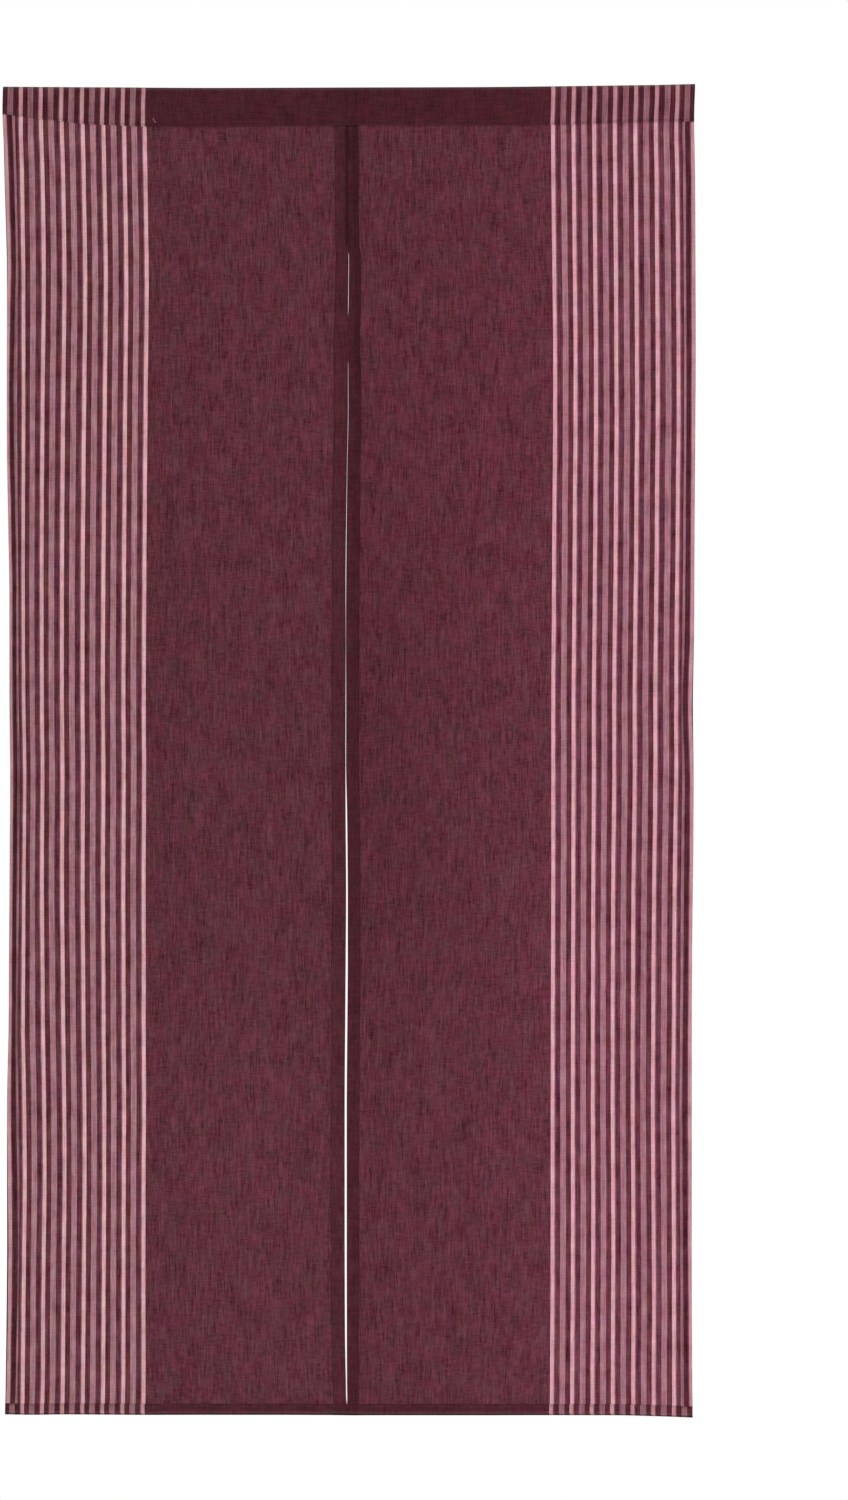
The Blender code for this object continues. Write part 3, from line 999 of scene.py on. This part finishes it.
def cotton(name, start, inner_tone, dark_tone, pale_tone):
    """The striped cotton of one half, with the tone that it has by the slit and that its dark and pale
    yarns have by the outer edge, partly its own and partly painted light and shade. Cloth that lies
    double lets less light through and is painted darker."""
    (material, tree, shader) = new_material(name)
    flat = add_node(tree, "UVMap", uv_map="flat").outputs[0]
    slub = use_group(tree, heather, Flat=flat, Start=start)
    layers = attribute(tree, "layers")
    double = reckon(tree, "SUBTRACT", layers, 1.0, clamp=True)
    shares = add_node(tree, "Mix", data_type="FLOAT")
    for (index, source) in ((0, double), (2, slub["Light"]), (3, slub["Double Light"])):
        feed(tree, shares.inputs[index], source)
    light = shares.outputs[0]
    sources = {"Flat": flat, "Light": light, "Striped Light": slub["Striped Light"]}
    woven = use_group(tree, stripes, **sources)
    parts = add_node(tree, "SeparateXYZ")
    feed(tree, parts.inputs[0], flat)
    inwards = spread(tree, parts.outputs[0], *INNER_TONE_AT)
    tone = mix_colours(tree, woven["Pale"], (*dark_tone, 1.0), (*pale_tone, 1.0))
    tone = mix_colours(tree, inwards, tone, (*inner_tone, 1.0))
    # Painted light that grows towards the bottom.
    higher = spread(tree, parts.outputs[1], *PAINTED_LIGHT_HEIGHTS)
    painted_light = mix_colours(tree, woven["Pale"], *LOWER_PAINTED_LIGHT)
    painted_light = mix_colours(tree, higher, painted_light, UPPER_TONE)
    tone = mix_colours(tree, 1.0, tone, painted_light, "MULTIPLY")
    # The broad patches' painted light and shade, and their redder hue.
    (lighter, redder) = (attribute(tree, "lighter"), attribute(tree, "redder"))
    # A redder patch has more red, and half as much less green and blue.
    others = reckon(tree, "MULTIPLY_ADD", redder, -0.5, reckon(tree, "ADD", lighter, 1.0))
    patched = add_node(tree, "CombineColor")
    feed(tree, patched.inputs[0], reckon(tree, "ADD", reckon(tree, "ADD", lighter, redder), 1.0))
    feed(tree, patched.inputs[1], others)
    feed(tree, patched.inputs[2], others)
    tone = mix_colours(tree, 1.0, tone, patched.outputs[0], "MULTIPLY")
    tint = mix_colours(tree, woven["Pale"], slub["Dark Tint"], slub["Pale Tint"])
    colour = mix_colours(tree, 1.0, woven["Colour"], tint, "MULTIPLY")
    colour = mix_colours(tree, 1.0, colour, tone, "MULTIPLY")
    # Painted shade where the cloth lies double, and deeper painted shade where it lies triple.
    doubled = mix_colours(tree, woven["Pale"], *DOUBLED)
    darker = mix_colours(tree, 1.0, colour, doubled, "MULTIPLY")
    colour = mix_colours(tree, double, colour, darker)
    thicker = reckon(tree, "SUBTRACT", layers, 2.0, clamp=True)
    thicker = reckon(tree, "MULTIPLY", thicker, THIRD_LAYER)
    colour = mix_colours(tree, thicker, colour, DARKNESS)
    # Worn grey and a painted highlight along the folds and over the rod.
    worn_and_lit = reckon(tree, "MULTIPLY", attribute(tree, "wear_and_highlight"), MOST_WORN_AND_LIT)
    colour = mix_colours(tree, worn_and_lit, colour, WORN_AND_LIT_YARN)
    shaded = reckon(tree, "MULTIPLY", attribute(tree, "shade"), DEEPEST_SHADE)
    colour = mix_colours(tree, shaded, colour, DARKNESS)
    feed(tree, shader.inputs["Base Color"], colour)
    feed(tree, shader.inputs["Roughness"], reckon(tree, "MULTIPLY_ADD", light, -0.1, 0.95))
    shader.inputs["Specular IOR Level"].default_value = 0.08
    height = reckon(tree, "MULTIPLY_ADD", light, 0.6, slub["Relief"])
    raise_up(tree, shader, height, strength=0.35, depth=0.0002)
    return material


# The right half's tones are partly its own and partly painted light and shade: darker by the slit,
# lighter towards its outer edge.
for (side, start, *tones) in (
    ("left", 0.0, (1.0, 1.0, 1.0), (1.0, 1.0, 1.0), (1.0, 1.0, 1.0)),
    ("right", 7.3, (0.97, 0.93, 0.95), (1.12, 1.05, 1.13), (1.01, 0.92, 1.00)),
):
    half = add_piece(f"cloth_{side}", weave_half(side), cotton(f"striped_cotton_{side}", start, *tones))
    thickness = half.modifiers.new("thickness", "SOLIDIFY")
    thickness.thickness = CLOTH
    thickness.offset = 0.0
    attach(half, "root")
    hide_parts(f"panel_{side}", f"heading_{side}")

# The sewing. Every hem is held by a row of lockstitches in wine red thread near its inner edge, which
# show on both faces. The halves are joined by small stitches over their two folds, down to a bar tack
# at the top of the slit, and one thread end hangs out of the left rod pocket.

STITCH = 0.0024
STITCH_PITCH = 0.0030
THREAD = 0.00013  # radius
UPRIGHT_ROW = (0.054, 1.684)  # drops between which the side and centre hems are sewn
CROSS_ROW = (0.004, 0.003)  # how far in from its two folds a half's cross hems are sewn
JOIN_STITCH = 0.0020
JOIN_PITCH = 0.0036
JOIN_SLANT = 0.0005
JOIN_TOP = 0.056
BAR_TACK = tuple(JOINED - 0.0008 * index for index in range(5))  # one stitch beside the other
THREAD_END = ((-0.2485, 0.0415), (-0.2470, 0.0442), (-0.2446, 0.0477))  # across, drop
THREAD_END_Y = -0.0030
THREAD_END_RADIUS = 3.4 * THREAD  # untwisted

ball = bmesh.new()
bmesh.ops.create_icosphere(ball, subdivisions=1, radius=1.0)
one_stitch = bpy.data.meshes.new("one_stitch")
ball.to_mesh(one_stitch)
ball.free()


def add_stitch(bm, start, end, radius):
    """A short length of thread between two points, thickest at its middle."""
    along = end - start
    turned = along.to_track_quat("X", "Z").to_matrix().to_4x4()
    shaped = Matrix.Diagonal((along.length / 2, radius, radius, 1.0))
    place = Matrix.Translation((start + end) / 2) @ turned @ shaped
    bm.from_mesh(one_stitch)
    bm.verts.ensure_lookup_table()
    for vertex in bm.verts[-len(one_stitch.vertices) :]:
        vertex.co = place @ vertex.co


def down_hem(hem):
    """A side hem's or centre hem's row of stitches: the flat distance and how far out, at a drop."""
    return lambda side, drop: (*station(side, (hem, "flap", SEAM_SHARE), drop)[:2], drop)


def along_pocket(side, flat):
    drop = -reading(LEVELS, across_at(side, flat, SEAM_DROP), 2) - SEAM_RISE
    return flat, HEM_LIFT + HEM_BULK * crossing(side, flat, SEAM_DROP), drop


def along_bottom(side, flat):
    bottom = reading(LEVELS, across_at(side, flat, BOTTOM_DROP), 3) + CLOTH / 2
    bulk = HEM_BULK * crossing(side, flat, HEM_DROP)
    (up, out, *_) = turned_edge("flap", SEAM_SHARE, SIDE_FOLD + bulk / 2, BOTTOM_HEM, HEM_LIFT + bulk)
    return flat, out, -bottom - up


def sew(bm, side, row, first, last):
    """Stitches on both faces of the cloth, along a row that gives each stitch's place."""
    for step in range(int((last - first) / STITCH_PITCH)):
        begins = first + step * STITCH_PITCH
        (flat_a, out_a, drop_a) = row(side, begins)
        (flat_b, out_b, drop_b) = row(side, begins + STITCH)
        faces = ((out_a + CLOTH / 2, out_b + CLOTH / 2), (-CLOTH / 2, -CLOTH / 2))
        for (near, far) in faces:
            start = hung_point(side, flat_a, drop_a, near)
            end = hung_point(side, flat_b, drop_b, far)
            add_stitch(bm, start, end, THREAD)


def join_halves(bm):
    """Stitches over the two folds that meet, in front and behind."""
    stitches = int((JOINED - JOIN_TOP) / JOIN_PITCH)
    drops = [JOIN_TOP + JOIN_PITCH * step for step in range(stitches)]
    (front, back) = (HANG_Y - 2 * SIDE_FOLD - CLOTH / 2, HANG_Y + CLOTH / 2)
    for drop in (*drops, *BAR_TACK):
        middle = (reading(MEETING, drop, 1) + reading(MEETING, drop, 2)) / 2
        depth = fold_depth(middle, drop) + unevenness(middle, drop)
        for (y, slant) in ((front, JOIN_SLANT), (back, -JOIN_SLANT)):
            start = Vector((middle - JOIN_STITCH / 2, y + depth, -drop - slant))
            end = Vector((middle + JOIN_STITCH / 2, y + depth, -drop + slant))
            add_stitch(bm, start, end, THREAD)


def thread_finish(name, dark, pale):
    """Twisted thread, lighter on its rounds, with painted shade between them that follows its relief.
    """
    (material, tree, shader) = new_material(name)
    place = add_node(tree, "TexCoord").outputs["Object"]
    twist = add_node(tree, "TexNoise")
    feed(tree, twist.inputs["Vector"], place)
    twist.inputs["Scale"].default_value = 2200.0
    rounds = twist.outputs["Fac"]
    feed(tree, shader.inputs["Base Color"], mix_colours(tree, rounds, dark, pale))
    feed(tree, shader.inputs["Roughness"], reckon(tree, "MULTIPLY_ADD", rounds, -0.2, 0.8))
    raise_up(tree, shader, rounds, strength=0.5, depth=0.0001)
    return material


wine_thread = thread_finish("wine_thread", yarn(74, 34, 43), yarn(112, 64, 74))
pale_thread = thread_finish("pale_thread", yarn(150, 118, 118), yarn(196, 164, 162))
for side in ("left", "right"):
    sewing = bmesh.new()
    for hem in ("outer", "centre"):
        sew(sewing, side, down_hem(hem), *UPRIGHT_ROW)
    for row in (along_pocket, along_bottom):
        sew(sewing, side, row, CROSS_ROW[0], FLAT_WIDTH[side] - CROSS_ROW[1])
    if side == "left":
        join_halves(sewing)
        for (upper, lower) in zip(THREAD_END, THREAD_END[1:]):
            (start, end) = (Vector((across, THREAD_END_Y, -drop)) for (across, drop) in (upper, lower))
            add_stitch(sewing, start, end, THREAD_END_RADIUS)
        sewing.faces.ensure_lookup_table()
        for face in sewing.faces[-(len(THREAD_END) - 1) * len(one_stitch.polygons) :]:
            face.material_index = 1
    stitches = add_piece(f"stitches_{side}", sewing, wine_thread, pale_thread)
    stitches.data.shade_smooth()
    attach(stitches, "root")
bpy.data.meshes.remove(one_stitch)

# The studio. A pale matt floor lies below the picture, and the room is white. Two soft lamps light the
# curtain, the stronger one from the right, and the camera looks straight at it from far away.

FLOOR_DROP = 2.1
floor_grid = bmesh.new()
bmesh.ops.create_grid(floor_grid, x_segments=4, y_segments=4, size=2.0)
bmesh.ops.translate(floor_grid, verts=floor_grid.verts, vec=(0.0, 0.0, -FLOOR_DROP))
(floor_paint, _, floor_shader) = new_material("pale_floor")
floor_shader.inputs["Base Color"].default_value = (0.86, 0.86, 0.85, 1.0)
floor_shader.inputs["Roughness"].default_value = 0.8
floor = add_piece("floor", floor_grid, floor_paint)

MIDDLE = Vector((0.0986, 0.0, -0.8499))  # of the picture, in the plane of the curtain
DISTANCE = 7.0
PICTURE_HEIGHT = 1.92

room = bpy.data.worlds.new("white_room")
room.use_nodes = True
walls = room.node_tree.nodes["Background"]
walls.inputs["Color"].default_value = (1.0, 1.0, 1.0, 1.0)
walls.inputs["Strength"].default_value = 1.0
bpy.context.scene.world = room
bpy.context.scene.view_settings.view_transform = "Standard"

for (name, place, size, power) in (
    ("light_right", (2.6, -2.8, -1.3), 2.0, 62.0),
    ("light_left", (-2.4, -3.6, -1.2), 2.2, 24.0),
):
    lamp = bpy.data.lights.new(name, "AREA")
    lamp.size = size
    lamp.energy = power
    light_object = bpy.data.objects.new(name, lamp)
    light_object.location = place
    aim = MIDDLE - Vector(place)
    light_object.rotation_euler = aim.to_track_quat("-Z", "Y").to_euler()
    bpy.context.scene.collection.objects.link(light_object)

lens = bpy.data.cameras.new("camera")
lens.sensor_width = 36.0
lens.lens = lens.sensor_width * DISTANCE / PICTURE_HEIGHT
camera = bpy.data.objects.new("camera", lens)
camera.location = MIDDLE - Vector((0.0, DISTANCE, 0.0))
camera.rotation_euler = (math.pi / 2, 0.0, 0.0)
bpy.context.scene.collection.objects.link(camera)
bpy.context.scene.camera = camera
